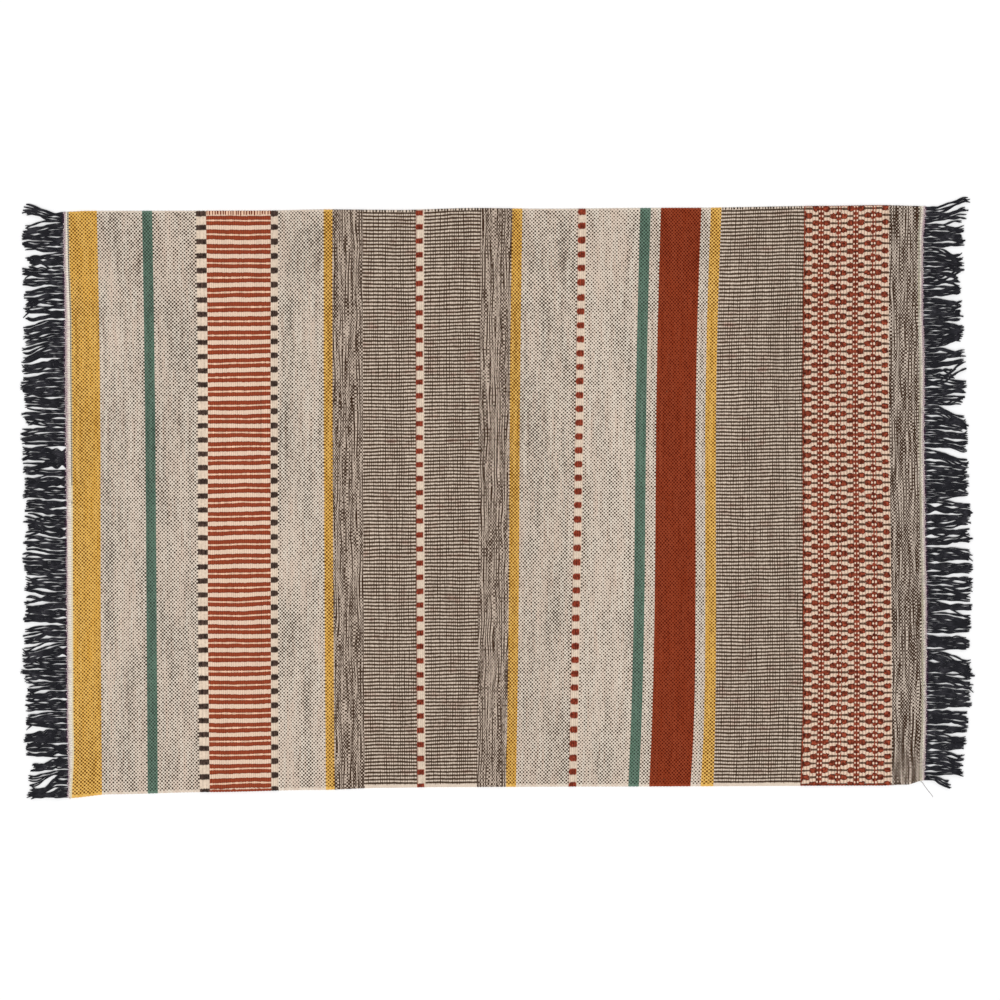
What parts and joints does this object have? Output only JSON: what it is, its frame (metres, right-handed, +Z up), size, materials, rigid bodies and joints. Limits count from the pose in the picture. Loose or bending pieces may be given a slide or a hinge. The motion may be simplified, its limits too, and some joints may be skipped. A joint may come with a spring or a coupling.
{
  "type": "flatweave rug",
  "caption": "Flat rectangular flatweave rug with cross stripes, line bands and a small diamond band, fringed with dark warp ends at both ends, to lie on a floor",
  "frame": {"origin": "middle of the rug on its underside, at floor level", "axes": "+X along the rug from one fringed end to the other, +Y across it, +Z up"},
  "size_m": [1.9818, 1.2532, 0.0052],
  "materials": {
    "cloth": "matt woven wool yarn, striped in cream, yellow, green, rust and brown",
    "fringe_yarn": "matt charcoal cotton yarn"
  },
  "bodies": {
    "root": {"rug_cloth": "cloth", "fringe_left": "fringe_yarn", "fringe_right": "fringe_yarn"}
  },
  "joints": []
}
